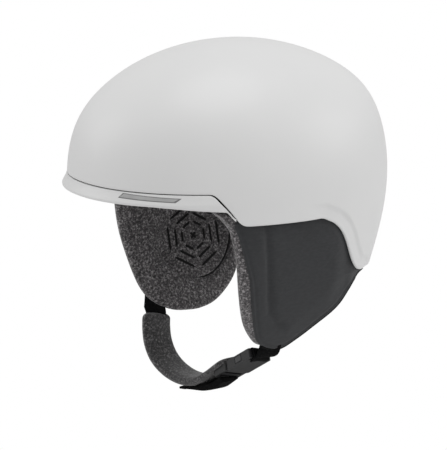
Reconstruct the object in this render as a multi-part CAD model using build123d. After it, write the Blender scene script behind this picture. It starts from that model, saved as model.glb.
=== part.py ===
"""Ski helmet, size M: hard shell, foam liner, ear pads, chin strap, dial fit band and goggle retainer.

Frame: +Z up, front of the helmet towards -Y, wearer's left towards +X. The origin lies on the
mid-plane, in the middle of the head opening, at the level where the shell is widest.
"""
import os
from math import copysign, cos, degrees, hypot, pi, radians, sin, sqrt

from build123d import *

# ------------------------------------------------------------------ driving dimensions (mm)
FRONT, REAR = 140, 132          # half-lengths of the plan in front of and behind the origin
HALF_WIDTH, CROWN = 111, 111    # half-width of the shell and height of its crown
PLAN_POWER = 2.11               # superellipse power of the plan
NAPE_TAPER = 0.166              # how far the rear draws in, 70 mm below the origin
WALL_HEIGHT = (188, 170, 142)   # vertical radius of the side wall: front, side, rear
CAP_FACTOR = (1.026, 1.03, 1.124)  # width of the cap above the soft crease: front, side, rear
CREASE = 24                     # sharpness of the crease between wall and cap

SHELL_T = 2.2                   # moulded shell
LINER_OUT, LINER_IN = 2.4, 24.0  # insets of the foam liner's two faces
LINING_OUT, LINING_IN = 25.2, 31.0  # insets of the comfort pads' two faces

EAR_TOP_Z, EAR_DROP = -19, 112  # level where the ear pads leave the shell, and their hang
EAR_OUT_X, EAR_CURL = 105, 33   # outer face of an ear pad at its top, and how far it curls in
EAR_T = 12                      # ear pad thickness overall
COVER_T, FLEECE_T = 2.4, 6.0    # its outer cover and its fleece lining

WEB_W, WEB_T = 16, 1.4          # strap webbing
WEB_INSET = 4.2                 # webbing centre below the ear pad's outer face
LOOP_Y0, LOOP_SLOPE = -22.5, 0.2086  # the hanging loop lies in the plane y = Y0 + SLOPE * x

BAND_R, BAND_T = 78, 1.6        # fit band radius at mid-thickness, and its thickness
PINION_R, PINION_TEETH = 5, 10  # pitch radius and teeth of the dial's pinion
RUN = 0.05                      # radial clearance of a running fit

BUCKLE_AT = (44.2, -13.6, -148.4)       # middle of the closed buckle's body
BUCKLE_ALONG = (-0.81, -0.19, -0.555)   # from its fixed end to its plug
BUCKLE_ROLL = 12                        # degrees about that line
PRONG_X, PRONG_Y = 15.2, 8.0            # root of each squeeze prong, in the buckle's plane

os.makedirs("parts", exist_ok=True)


def save(node, solid):
    """Write one sub-part to parts/NODE.step."""
    solid.label = node
    export_step(solid, f"parts/{node}.step")


# ------------------------------------------------------------------ the shell's form
def radius_factor(z, phi, inset):
    """Plan scale at height z: a tapering nape below z = 0, a side wall and a cap above it."""
    front = max(cos(phi), 0) ** 2
    rear = max(-cos(phi), 0) ** 2
    side = sin(phi) ** 2
    if z <= 0:
        return 1 - NAPE_TAPER * rear * (z / 70) ** 2
    wall_h = WALL_HEIGHT[0] * front + WALL_HEIGHT[1] * side + WALL_HEIGHT[2] * rear - inset
    cap = CAP_FACTOR[0] * front + CAP_FACTOR[1] * side + CAP_FACTOR[2] * rear
    wall = sqrt(max(1 - (z / wall_h) ** 2, 1e-9))
    dome_r = cap * sqrt(max(1 - (z / (CROWN - inset)) ** 2, 1e-12))
    soft = (wall ** -CREASE + dome_r ** -CREASE) ** (-1 / CREASE)
    return soft * (1 + cap ** -CREASE) ** (1 / CREASE)


def plan_ring(z, inset, flare=0.0, count=36):
    """Closed plan curve at height z, inset from the shell's face and flared at the front."""
    points = []
    for i in range(count):
        phi = 2 * pi * i / count
        c, s = cos(phi), sin(phi)
        along = (FRONT if c > 0 else REAR) - inset + flare * max(c, 0) ** 0.8
        across = HALF_WIDTH - inset + flare * max(c, 0) ** 0.8
        k = radius_factor(z, phi, inset)
        x = across * k * copysign(abs(s) ** (2 / PLAN_POWER), s)
        y = -along * k * copysign(abs(c) ** (2 / PLAN_POWER), c)
        points.append((x, y, z))
    return Wire([Edge.make_spline([Vector(*p) for p in points], periodic=True)])


def dome(inset, low):
    """Solid bounded by the shell's face moved inwards, from height low to the crown."""
    top = CROWN - inset
    levels = [low, low * 0.5, 0] + [top * sin(radians(a)) for a in (14, 26, 36, 45, 53, 61, 69, 76, 82, 86.5)]
    rings = [plan_ring(z, inset) for z in levels]
    return Solid.make_loft(rings + [Vertex(0, 0, top)])


def side_prism(points, reach=150):
    """Prism across the helmet from an outline of (y, z) points in the side view."""
    return extrude(make_face(Plane.YZ * Polyline(*points, close=True)), reach, both=True)


SHELL_EDGE = [(-160, 8.5), (-77, 7.5), (-66, -6), (-57, -18), (-52, -19), (14, -19), (27, -25),
              (34, -31), (40, -39), (45, -50), (50, -60), (57, -68), (66, -71), (90, -69),
              (104, -62), (112, -53), (160, -52)]
LINER_EDGE = [(-160, 0), (-84, -1), (-70, -5), (-60, -12.5), (-50, -13), (14, -13), (30, -19),
              (39, -26), (46, -36), (51, -47), (56, -56.5), (61.5, -63), (67, -65), (90, -63),
              (104, -56), (112, -47.5), (160, -46.5)]
BRIM_SIDE = [(-160, 7.7), (-77.9, 6.7), (-67.2, -6.6), (-68, -7), (-84, -6), (-100, -5),
             (-114, -4), (-160, -4)]
BELOW = [(160, -130), (-160, -130)]

shell_form = dome(0, -85)
shell_inside = dome(SHELL_T, -86)


def outer_shell():
    """Moulded shell with its stepped lower edge: brow, ears and nape."""
    return (shell_form - side_prism(SHELL_EDGE + BELOW)) - shell_inside


BRIM_LEVELS = [(12, 0), (7.7, 0), (5, 0.4), (2, 1.4), (-1, 2.8), (-4, 4.0), (-9, 4.4)]


def brim_form(inset):
    """Solid bounded by the brim's flared outer face, moved inwards by inset."""
    return Solid.make_loft([plan_ring(z, inset, flare) for z, flare in BRIM_LEVELS])


BADGE_PLANE = Plane(origin=(64, -114, 3.3), x_dir=(0.76, 0.65, 0), z_dir=(0.65, -0.76, 0))


def badge_bar(grow):
    """Bar through the brim in the outline of the slanted badge."""
    outline = Polyline((-24.6, -1.4), (20.8, -2.4), (22.9, 0.7), (-22.4, 2.7), close=True)
    face = offset(make_face(outline), grow)
    return extrude(BADGE_PLANE * face, 12, both=True)


def front_brim():
    """Short flared brim below the brow seam, with a shallow seat for the badge."""
    seat = badge_bar(0.15) - brim_form(0.7)
    return (brim_form(0) & side_prism(BRIM_SIDE)) - shell_inside - seat


def brim_badge():
    """Bare slanted plate in the brim's seat."""
    return (badge_bar(0) & brim_form(0.15)) - brim_form(0.68)


def liner():
    """Foam liner with pockets for the strap anchors and a notch over the fit dial."""
    body = (dome(LINER_OUT, -85) - side_prism(LINER_EDGE + BELOW)) - dome(LINER_IN, -86)
    body -= Pos(0, 110, -60) * Box(48, 44, 36)
    for side in (-1, 1):
        body -= Pos(side * 102.5, -8, -4) * Box(15, 32, 20)
    return body


# ------------------------------------------------------------------ comfort pads
def lining():
    """Layer just inside the liner that the comfort pads are cut from."""
    return dome(LINING_OUT, -14) - dome(LINING_IN, -15)


def comfort_pads():
    """Brow, temple, rear-side and crown pads."""
    layer = lining()
    pads = {
        "brow_pad": Pos(0, -100, 11) * Box(130, 70, 24),
        "temple_pad_left": Pos(90, -28, 8) * Box(60, 40, 32),
        "temple_pad_right": Pos(-90, -28, 8) * Box(60, 40, 32),
        "rear_pad_left": Pos(80, 50, 16) * Box(70, 40, 28),
        "rear_pad_right": Pos(-80, 50, 16) * Box(70, 40, 28),
    }
    cross = Box(34, 130, 60) + Box(110, 34, 60)
    pads["crown_pad"] = Pos(0, -4, 88) * cross
    return {node: layer & cutter for node, cutter in pads.items()}


# ------------------------------------------------------------------ ear pads
def ear_x(z, depth):
    """Distance from the mid-plane of the ear pad's curled layer, depth below its outer face."""
    return EAR_OUT_X - EAR_CURL * ((EAR_TOP_Z - z) / EAR_DROP) ** 2 - depth


def ear_layer(depth, thickness, low=-140, high=-9):
    """Curled layer between two depths of the left ear pad."""
    levels = [low + (high - low) * i / 8 for i in range(9)]
    outer = [(ear_x(z, depth), z) for z in levels]
    inner = [(ear_x(z, depth + thickness), z) for z in levels]
    edges = Spline(*outer) + Line(outer[-1], inner[-1]) + Spline(*inner) + Line(inner[0], outer[0])
    return extrude(make_face(Plane.XZ * edges), 130, both=True)


COVER_TOP = [(-59, -20.5), (-33, -20), (-28, -15.5), (14, -15.5), (27, -20.5), (33, -27),
             (37.7, -37.4), (43.6, -49), (48.9, -59.5), (55.5, -68.6), (62.5, -71.5)]
COVER_LOW = [(62.5, -71.5), (52, -85), (40, -105), (28, -115), (13.5, -126), (0, -132.5),
             (-14, -130), (-26, -121), (-35, -101), (-41, -83), (-46, -64), (-52, -46),
             (-56, -32), (-59, -20.5)]
FLEECE_TOP = [(-62, -17), (14, -17), (26, -24), (33, -31), (40, -42), (45, -52), (50, -62),
              (56, -70), (58.5, -78)]
FLEECE_LOW = [(58.5, -78), (54, -95), (47, -110), (36, -118), (21, -125), (4.5, -129),
              (-10, -130), (-20, -130), (-36, -123), (-48, -109), (-55, -83), (-60, -50),
              (-62, -17)]
SPEAKER_AT = (11.6, -72.4)      # centre of the speaker pocket, (y, z)


def ear_outline(top, low):
    """Prism of an ear pad's side-view outline: straight tuck line above, smooth edge below."""
    edges = Polyline(*top) + Spline(*low)
    return extrude(make_face(Plane.YZ * edges), 130, both=True)


def hexagon_slits():
    """Three rings of six slits and a small cross, cut through the speaker's vent panel."""
    slits = []
    for apothem, length in ((24.5, 21), (17.5, 16), (11, 9)):
        for k in range(6):
            slits.append(Rot(0, 0, 60 * k) * Pos(apothem, 0, 0) * Box(1.4, length, 60))
    for angle in (45, -45):
        slits.append(Rot(0, 0, angle) * Box(1.2, 7, 60))
    return slits


def speaker_vent():
    """Thin slotted panel over the speaker pocket, on the fleece's inner face."""
    turn = Plane(origin=(85, *SPEAKER_AT), x_dir=(0, 1, 0), z_dir=(1, 0, 0))
    disc = turn * Cylinder(31, 60)
    panel = ear_layer(EAR_T + 0.1, 1.1) & disc
    for slit in hexagon_slits():
        panel -= turn * slit
    return panel


def ear_pads():
    """Left ear pad's layers; the right ones are their mirror images."""
    return {
        "ear_pad_cover": ear_layer(0, COVER_T) & ear_outline(COVER_TOP, COVER_LOW),
        "ear_pad_fleece": ear_layer(EAR_T - FLEECE_T, FLEECE_T) & ear_outline(FLEECE_TOP, FLEECE_LOW),
        "speaker_vent": speaker_vent(),
        "ear_snap_front": Pos(97, -42, -12.4) * Cylinder(4, 4.4),
        "ear_snap_rear": Pos(97, 4, -11.7) * Pos(0, 8, 0) * Cylinder(4, 5),
    }


# ------------------------------------------------------------------ straps
def ribbon(points, thickness):
    """Bent strip seen along Y, as a prism: (x, z) points of its middle line."""
    sides = ([], [])
    for i, (x, z) in enumerate(points):
        x0, z0 = points[max(i - 1, 0)]
        x1, z1 = points[min(i + 1, len(points) - 1)]
        run = hypot(x1 - x0, z1 - z0)
        normal = ((z1 - z0) / run, -(x1 - x0) / run)
        for side, sign in zip(sides, (0.5, -0.5)):
            side.append((x + sign * thickness * normal[0], z + sign * thickness * normal[1]))
    a, b = sides
    edges = Spline(*a) + Line(a[-1], b[-1]) + Spline(*b) + Line(b[0], a[0])
    return extrude(make_face(Plane.XZ * edges), 90, both=True)


def loop_strip(half_width):
    """Prism that trims the hanging loop to its width, in the loop's own slanting plane."""
    ends = [(x, LOOP_Y0 + LOOP_SLOPE * x + side * half_width)
            for x, side in ((-110, -1), (110, -1), (110, 1), (-110, 1))]
    return extrude(make_face(Polyline(*ends, close=True)), 120, both=True).move(Location((0, 0, -160)))


LOOP_RIGHT = [(-70.6, -128.2), (-72.5, -140), (-73, -152), (-70.5, -165), (-62, -176.5),
              (-46, -184.5), (-28, -187), (-10, -183.5), (4, -176.5), (15.6, -168.6)]
LOOP_LEFT = [(67.4, -135.9), (65.5, -138), (62.9, -139.5), (60.6, -140.0)]
TAIL = [(15, -172.2), (4, -181.5), (-12, -190), (-28, -194), (-44, -194)]
TONGUE = [(-22, -180.3), (-10, -177.5), (2, -170.6), (10.4, -161.8), (18.6, -152.6), (29.4, -143.4)]
STRAP_TOP_Z = 3.0               # top of each fixed web, in its anchor pocket
ANCHOR_AT = (-8, -3)            # rivet's (y, z)
EXIT_LEFT, EXIT_RIGHT = (-8, -133.5), (-37, -126)   # where the fixed webs end, (y, z)


def fixed_web(exit_at):
    """Web inside the left ear pad, from its rivet down to exit_at, drawn on the +X side."""
    y1, z1 = exit_at
    half = WEB_W / 2
    outline = [(ANCHOR_AT[0] - half, STRAP_TOP_Z), (ANCHOR_AT[0] + half, STRAP_TOP_Z),
               (ANCHOR_AT[0] + half, -12), (y1 + half, z1), (y1 - half, z1),
               (ANCHOR_AT[0] - half, -12)]
    layer = ear_layer(WEB_INSET - WEB_T / 2, WEB_T, -134, 4)
    strip = extrude(make_face(Plane.YZ * Polyline(*outline, close=True)), 130, both=True)
    hole = Pos(100, *ANCHOR_AT) * Rot(0, 90, 0) * Cylinder(2.6, 20)
    return (layer & strip) - hole


def strap_rivet():
    """Rivet that holds a fixed web to the shell, seen on the +X side."""
    shank = Pos(103.2, *ANCHOR_AT) * Rot(0, 90, 0) * Cylinder(2.5, 11)
    head = Pos(97.7, *ANCHOR_AT) * Rot(0, 90, 0) * Cylinder(5, 1.8)
    collar = Pos(105, *ANCHOR_AT) * Rot(0, 90, 0) * Cylinder(5, 7)
    return shank + head + collar


def chin_pad():
    """Fleece sleeve on the loop, with a tunnel for the web, and its tongue behind the buckle."""
    sleeve = ribbon(LOOP_RIGHT[1:8], 9)
    tongue = ribbon(TONGUE, 7)
    tunnel = ribbon(LOOP_RIGHT, WEB_T + 1.0) & loop_strip(WEB_W / 2 + 0.7)
    return ((sleeve + tongue) & loop_strip(13)) - tunnel


# ------------------------------------------------------------------ buckle
along = Vector(*BUCKLE_ALONG).normalized()
flat_across = (Vector(0, 1, 0) - along * along.Y).normalized()
flat_out = along.cross(flat_across)
outward = flat_out * cos(radians(BUCKLE_ROLL)) - flat_across * sin(radians(BUCKLE_ROLL))
BUCKLE = Plane(origin=BUCKLE_AT, x_dir=along, z_dir=outward)
BODY_W, BODY_T, WALL = 22, 8, 1.4


def block(x0, x1, y0, y1, z0, z1):
    """Box between two corners in the buckle's own axes."""
    return Pos((x0 + x1) / 2, (y0 + y1) / 2, (z0 + z1) / 2) * Box(x1 - x0, y1 - y0, z1 - z0)


def buckle_female():
    """Socket: a hollow body with side windows and a bar for the web."""
    body = block(-17, 15, -BODY_W / 2, BODY_W / 2, -BODY_T / 2, BODY_T / 2)
    body = fillet(body.edges().filter_by(Axis.Z), 2)
    body -= block(-9, 16, -9.4, 9.4, -BODY_T / 2 + WALL, BODY_T / 2 - WALL)
    body -= block(-6, 3, -12, 12, -BODY_T / 2 + WALL, BODY_T / 2 - WALL)
    body -= block(-14.6, -11.6, -8.6, 8.6, -9, 9)
    return BUCKLE * body


def buckle_male():
    """Plug: a two-bar frame that the loop's web threads through, and a centre guide."""
    base = block(15.4, 33, -BODY_W / 2, BODY_W / 2, -3, 3)
    base = fillet(base.edges().filter_by(Axis.Z), 2.5)
    for x in (19, 26):
        base -= block(x, x + 3, -8.6, 8.6, -9, 9)
    return BUCKLE * (base + block(-3, 15.5, -1.6, 1.6, -1.5, 1.5))


def buckle_prong(side):
    """Springy side arm of the plug, with its latch and squeeze grip; side is -1 or +1."""
    arm = block(-5.5, PRONG_X - 0.2, PRONG_Y - 1.1, PRONG_Y + 1.1, -2.2, 2.2)
    grip = block(-5.5, 2.6, PRONG_Y, 11.4, -2.2, 2.2)
    grip = fillet(grip.edges().filter_by(Axis.Z).sort_by(Axis.Y)[-2:], 1.0)
    prong = arm + grip
    return BUCKLE * (prong if side > 0 else prong.mirror(Plane.XZ))


# ------------------------------------------------------------------ dial fit system
FIT = Plane(origin=(0, 21.9, -16.7), x_dir=(1, 0, 0), z_dir=(0, 0.53, 0.848))
PITCH = degrees(2 * pi * PINION_R / PINION_TEETH / BAND_R)   # one tooth along the band, degrees
BAND_IN, BAND_OUT = BAND_R - BAND_T / 2, BAND_R + BAND_T / 2
CRADLE_IN, CRADLE_T = 80, 2.2
COVER_IN, COVER_OUT = 73.8, 76.2


def sector(r0, r1, a0, a1, w0, w1):
    """Piece of a ring about the fit plane's normal; angles in degrees from the dial's direction."""
    def at(r, a):
        return (r * sin(radians(a)), r * cos(radians(a)))
    mid = (a0 + a1) / 2
    edges = (ThreePointArc(at(r1, a0), at(r1, mid), at(r1, a1)) + Line(at(r1, a1), at(r0, a1))
             + ThreePointArc(at(r0, a1), at(r0, mid), at(r0, a0)) + Line(at(r0, a0), at(r1, a0)))
    return Pos(0, 0, w0) * extrude(make_face(edges), w1 - w0)


def shaft(radius, v0, v1):
    """Cylinder along the dial's axis between two distances from the band's centre."""
    return Pos(0, (v0 + v1) / 2, 0) * Rot(90, 0, 0) * Cylinder(radius, v1 - v0)


def rack_tooth(angle):
    """One rack tooth on the band's strip, pointing at the pinion."""
    a = radians(angle)
    seat = Plane(origin=(BAND_IN * sin(a), BAND_IN * cos(a), 0),
                 x_dir=(cos(a), -sin(a), 0), z_dir=(sin(a), cos(a), 0))
    outline = Polyline((-0.75, -6.6), (0.75, -6.6), (0.35, -4.2), (-0.35, -4.2), close=True)
    return extrude(seat * make_face(outline), BAND_T)


def band():
    """Left arm of the fit band: a rack strip over the pinion, then the full band to the temple."""
    arm = sector(BAND_IN, BAND_OUT, -16, 31, 6.2, 9)
    arm += sector(BAND_IN, BAND_OUT, 30, 50, -9, 9)
    arm += sector(BAND_IN, BAND_OUT, 49, 105, -6, 6)
    for k in range(-5, 5):
        arm += rack_tooth((k + 0.5) * PITCH)
    return arm


def dial_pinion():
    """Pinion with its inner journal and its shaft to the knob."""
    tooth = Polyline((3.6, -0.75), (5.8, -0.35), (5.8, 0.35), (3.6, 0.75), close=True)
    face = make_face(tooth)
    gear = Cylinder(3.9, 3)
    for k in range(PINION_TEETH):
        gear += Rot(0, 0, 360 * (k + 0.5) / PINION_TEETH) * Pos(0, 0, -1.5) * extrude(face, 3)
    gear = Pos(0, 78.1, 0) * Rot(90, 0, 0) * gear
    return FIT * (gear + shaft(2, 74.6, 76.7) + shaft(3, 79.5, 90))


def fit_dial():
    """Scalloped knob at the nape."""
    knob = shaft(14.5, 83, 93)
    knob = fillet(knob.edges().filter_by(GeomType.CIRCLE), 1.5)
    for k in range(14):
        a = radians(360 * k / 14)
        knob -= Pos(15.6 * cos(a), 88, 15.6 * sin(a)) * Rot(90, 0, 0) * Cylinder(2.2, 12)
    return FIT * (knob - shaft(3, 82, 90))


def fit_cradle():
    """Curved nape plate behind the bands, with the dial's bearing."""
    plate = sector(CRADLE_IN, CRADLE_IN + CRADLE_T, -28, 28, -12, 11)
    return FIT * (plate - shaft(3 + RUN, 70, 95))


def cradle_cover():
    """Inner housing that closes the racks in and carries the pinion's journal."""
    plate = sector(COVER_IN, COVER_OUT, -15, 15, -12, 12)
    for w0, w1 in ((9.8, 12), (-12, -9.8)):
        plate += sector(COVER_OUT - 0.2, CRADLE_IN - 0.02, -15, 15, w0, min(w1, 11))
    return FIT * (plate - shaft(2 + RUN, 74.4, 78))


def height_strut():
    """Flat strut from the cradle up the liner's rear wall, with its fixing stud."""
    front = [(96.2, -51), (98.6, -40), (101.2, -30), (102.8, -20)]
    back = [(y + 1.6, z + 0.4) for y, z in reversed(front)]
    plate = extrude(make_face(Plane.YZ * Polyline(*front, *back, close=True)), 8, both=True)
    stud = Pos(0, 107.5, -24) * Rot(90, 0, 0) * Cylinder(3.2, 10)
    return plate + stud


def band_guide():
    """Slotted guide on the liner's side wall for the left arm."""
    body = sector(75.2, 87.6, 86, 97, -8.5, 8.5)
    return FIT * (body - sector(76.8, 79.2, 80, 103, -6.4, 6.4))


def band_pad():
    """Foam strip on the head side of the left arm."""
    return FIT * sector(74, 77.1, 34, 62, -7, 7)


# ------------------------------------------------------------------ goggle retainer
HINGE_AT = (136.4, 6)           # retainer's hinge, (y, z)
STUD_Z = -42                    # height of its snap


def cross_pin(radius, half_length):
    """Cylinder along X on the retainer's hinge line."""
    return Pos(0, *HINGE_AT) * Rot(0, 90, 0) * Cylinder(radius, 2 * half_length)


def goggle_mount():
    """Bracket on the shell's rear with two ears."""
    body = Pos(0, 131.6, 6) * Box(30, 3.2, 12)
    for side in (-1, 1):
        body += Pos(side * 13.6, 136.2, 6) * Box(2.8, 6.6, 7)
    return body - cross_pin(1.52, 20)


def goggle_clip():
    """Swinging tab that closes over the goggle strap."""
    body = cross_pin(2.9, 11.4) + Pos(0, 137.9, -22) * Box(22.8, 2.6, 56)
    return body - cross_pin(1.5 + RUN, 20)


def goggle_snap_stud():
    """Headed stud on the shell."""
    stem = Pos(0, 128.4, STUD_Z) * Rot(90, 0, 0) * Cylinder(3.5, 10.8)
    return stem + Pos(0, 133.5, STUD_Z) * Rot(90, 0, 0) * Cylinder(5, 2.6)


def goggle_snap_cap():
    """Ring on the tab that grips the stud's head."""
    ring = Cylinder(7.2, 3.3) - Cylinder(5.7, 5)
    return Pos(0, 134.95, STUD_Z) * Rot(90, 0, 0) * ring


# ------------------------------------------------------------------ write every node
def main():
    save("outer_shell", outer_shell())
    save("front_brim", front_brim())
    save("brim_badge", brim_badge())
    save("eps_liner", liner())
    for node, pad in comfort_pads().items():
        save(node, pad)

    for node, piece in ear_pads().items():
        save(f"{node}_left", piece)
        save(f"{node}_right", piece.mirror(Plane.YZ))

    save("strap_web_upper_left", fixed_web(EXIT_LEFT))
    save("strap_web_upper_right", fixed_web(EXIT_RIGHT).mirror(Plane.YZ))
    save("strap_rivet_left", strap_rivet())
    save("strap_rivet_right", strap_rivet().mirror(Plane.YZ))
    save("strap_web_lower_left", ribbon(LOOP_LEFT, WEB_T) & loop_strip(WEB_W / 2))
    save("strap_web_lower_right", ribbon(LOOP_RIGHT, WEB_T) & loop_strip(WEB_W / 2))
    save("strap_tail", ribbon(TAIL, WEB_T) & loop_strip(WEB_W / 2))
    save("chin_pad", chin_pad())

    save("buckle_female", buckle_female())
    save("buckle_male", buckle_male())
    save("buckle_prong_front", buckle_prong(-1))
    save("buckle_prong_rear", buckle_prong(1))

    half_turn = Rot(0, 180, 0)
    save("fit_band_left", FIT * band())
    save("fit_band_right", FIT * (half_turn * band()))
    save("band_guide_left", band_guide())
    save("band_guide_right", band_guide().mirror(Plane.YZ))
    save("band_pad_left", band_pad())
    save("band_pad_right", band_pad().mirror(Plane.YZ))
    save("fit_cradle", fit_cradle())
    save("cradle_cover", cradle_cover())
    save("height_strut", height_strut())
    save("dial_pinion", dial_pinion())
    save("fit_dial", fit_dial())

    save("goggle_mount", goggle_mount())
    save("goggle_hinge_pin", cross_pin(1.5, 15))
    save("goggle_clip", goggle_clip())
    save("goggle_snap_stud", goggle_snap_stud())
    save("goggle_snap_cap", goggle_snap_cap())


main()
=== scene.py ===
import math

import bmesh
import bpy
import numpy as np
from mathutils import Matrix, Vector


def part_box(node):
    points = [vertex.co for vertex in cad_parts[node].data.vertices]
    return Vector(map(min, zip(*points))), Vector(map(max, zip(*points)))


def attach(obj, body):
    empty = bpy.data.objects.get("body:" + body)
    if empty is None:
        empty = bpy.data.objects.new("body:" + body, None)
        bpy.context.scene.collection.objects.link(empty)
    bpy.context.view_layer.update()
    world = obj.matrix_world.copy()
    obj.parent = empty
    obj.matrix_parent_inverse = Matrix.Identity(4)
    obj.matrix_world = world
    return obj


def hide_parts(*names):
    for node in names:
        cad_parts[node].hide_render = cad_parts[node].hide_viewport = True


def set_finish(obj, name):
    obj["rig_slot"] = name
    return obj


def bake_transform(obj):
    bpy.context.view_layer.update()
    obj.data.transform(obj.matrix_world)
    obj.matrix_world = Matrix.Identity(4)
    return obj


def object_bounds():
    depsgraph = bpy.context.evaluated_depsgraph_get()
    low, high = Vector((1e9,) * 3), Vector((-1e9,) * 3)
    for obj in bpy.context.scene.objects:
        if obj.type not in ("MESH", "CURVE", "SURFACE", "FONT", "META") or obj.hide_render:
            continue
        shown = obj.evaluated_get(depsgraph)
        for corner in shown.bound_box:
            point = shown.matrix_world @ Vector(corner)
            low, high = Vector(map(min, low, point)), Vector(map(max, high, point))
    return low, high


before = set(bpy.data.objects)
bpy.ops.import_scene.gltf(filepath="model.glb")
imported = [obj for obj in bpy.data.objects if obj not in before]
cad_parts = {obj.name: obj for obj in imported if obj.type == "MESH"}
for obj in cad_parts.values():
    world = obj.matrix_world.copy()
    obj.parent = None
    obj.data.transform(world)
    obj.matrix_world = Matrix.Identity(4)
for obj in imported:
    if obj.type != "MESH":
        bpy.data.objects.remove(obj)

CAD_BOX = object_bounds()
MM = 0.001


def mm_box(node):
    """Corners of a CAD node in millimetres."""
    low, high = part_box(node)
    return np.array(low) / MM, np.array(high) / MM


# ------------------------------------------------------------------ sizes (mm), as in the CAD part
CROWN = mm_box("outer_shell")[1][2]
FRONT, REAR, HALF_WIDTH = 140.0, 132.0, 111.0  # half-lengths ahead and behind, and half-width
PLAN_POWER, NAPE_TAPER, CREASE = 2.11, 0.166, 24.0
WALL_HEIGHT = (188.0, 170.0, 142.0)            # vertical radius of the wall: front, side, rear
CAP_FACTOR = (1.026, 1.03, 1.124)              # width of the cap: front, side, rear
SHELL_T = 2.2
EAR_TOP_Z, EAR_DROP, EAR_OUT_X, EAR_CURL = -19.0, 112.0, 105.0, 33.0
WEB_W, WEB_T = 16.0, 1.4
LOOP_Y0, LOOP_SLOPE = -22.5, 0.2086            # hanging straps: y = LOOP_Y0 + LOOP_SLOPE * x

# sizes of the visual pieces (mm)
RELIEF_DEPTH, RELIEF_WIDTH, RELIEF_SLOPE = 1.5, 10.5, 2.4  # step round the ear opening
RELIEF_ON, RELIEF_OFF = (-4, 22), (70, 84)     # where along y the step fades in and out
LINER_OUT, LINER_IN = 3.7, 24.0                # insets of the foam liner's two faces
NOTCH_HALF, NOTCH_TOP = 30.0, -42.0            # the liner's notch over the fit dial
BRIM_T = 3.0

# side-view outlines, (y, z)
SHELL_EDGE = [(-160, 8.5), (-75.4, 7.5), (-64.2, -6), (-56.2, -17.2), (-51.5, -18.2), (15, -18.6),
              (28, -24.4), (35.5, -30.5), (41.5, -39), (46.5, -50), (51.5, -60), (58.5, -68),
              (67.5, -71), (90, -69), (104, -62), (112, -53), (160, -52)]
LINER_EDGE = [(-160, 0), (-84, -1), (-70, -5), (-60, -12.5), (-50, -13), (14, -13), (30, -19),
              (39, -26), (46, -36), (51, -47), (56, -56.5), (61.5, -63), (67, -65), (90, -63),
              (104, -56), (112, -47.5), (160, -46.5)]
BRIM_TOP = [(-160, 6.8), (-77, 5.9), (-66.2, -6.5), (-60.4, -14)]
BRIM_LOWER = [(-160, -1.9), (-114, -1.9), (-100, -3), (-84, -4.6), (-66.2, -6.1), (-60.4, -14.6)]
BRIM_FLARE = [(-9, 4.6), (-4, 4.3), (-1, 4.0), (2, 2.2), (5, 0.7), (7.7, 0)]  # (z, how far it stands out)


# ------------------------------------------------------------------ mesh helpers
def new_object(name, points, faces, mat, slot):
    """Mesh object from points in millimetres."""
    mesh = bpy.data.meshes.new(name)
    mesh.from_pydata([tuple(p * MM) for p in np.asarray(points, float)], [], faces)
    mesh.validate()
    mesh.update()
    mesh.polygons.foreach_set("use_smooth", [True] * len(mesh.polygons))
    obj = bpy.data.objects.new(name, mesh)
    bpy.context.scene.collection.objects.link(obj)
    mesh.materials.append(mat)
    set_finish(obj, slot)
    return obj


def grid_faces(rows, cols, wrap_cols=False, wrap_rows=False, start=0):
    """Quads of a grid of points stored row by row."""
    faces = []
    for i in range(rows if wrap_rows else rows - 1):
        for j in range(cols if wrap_cols else cols - 1):
            a, b = i * cols + j, i * cols + (j + 1) % cols
            c, d = ((i + 1) % rows) * cols + (j + 1) % cols, ((i + 1) % rows) * cols + j
            faces.append((start + a, start + b, start + c, start + d))
    return faces


def outward(obj):
    """Face normals to the outside, with doubled points merged."""
    mesh = bmesh.new()
    mesh.from_mesh(obj.data)
    bmesh.ops.remove_doubles(mesh, verts=mesh.verts, dist=1e-6)
    bmesh.ops.recalc_face_normals(mesh, faces=mesh.faces)
    mesh.to_mesh(obj.data)
    mesh.free()
    return obj


def rise(x, start, end):
    """Smooth rise from 0 at start to 1 at end."""
    x = np.clip((x - start) / (end - start), 0, 1)
    return x * x * (3 - 2 * x)


def fall(x, start, end):
    """Smooth fall from 1 at start to 0 at end."""
    return 1 - rise(x, start, end)


def ridge(distance, width):
    """Bell of height 1 across a line."""
    return np.exp(-(distance / width) ** 2)


def signed_power(value, power):
    """Power of a number's size, with the number's sign."""
    return math.copysign(abs(value) ** power, value)


def eased(points, y, reach=3.0):
    """Height of an outline at y, with its corners rounded over reach on each side."""
    ys, zs = zip(*points)
    offsets = np.linspace(-reach, reach, 9)
    return np.mean([np.interp(np.asarray(y) + o, ys, zs) for o in offsets], axis=0)


def smooth_curve(points, count, closed=False):
    """Catmull-Rom curve through points, spaced evenly along its length."""
    p = np.array(points, float)
    if closed:
        p = np.vstack([p[-1], p, p[0], p[1]])
    else:
        p = np.vstack([2 * p[0] - p[1], p, 2 * p[-1] - p[-2]])
    fine = []
    for a, b, c, d in zip(p[:-3], p[1:-2], p[2:-1], p[3:]):
        for t in np.linspace(0, 1, 16, endpoint=False):
            fine.append(0.5 * (2 * b + (c - a) * t + (2 * a - 5 * b + 4 * c - d) * t ** 2
                               + (3 * b - a - 3 * c + d) * t ** 3))
    fine.append(p[1] if closed else p[-2])
    fine = np.array(fine)
    length = np.concatenate([[0], np.cumsum(np.linalg.norm(np.diff(fine, axis=0), axis=1))])
    at = np.linspace(0, length[-1], count, endpoint=not closed)
    return np.column_stack([np.interp(at, length, fine[:, k]) for k in range(p.shape[1])])


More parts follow.
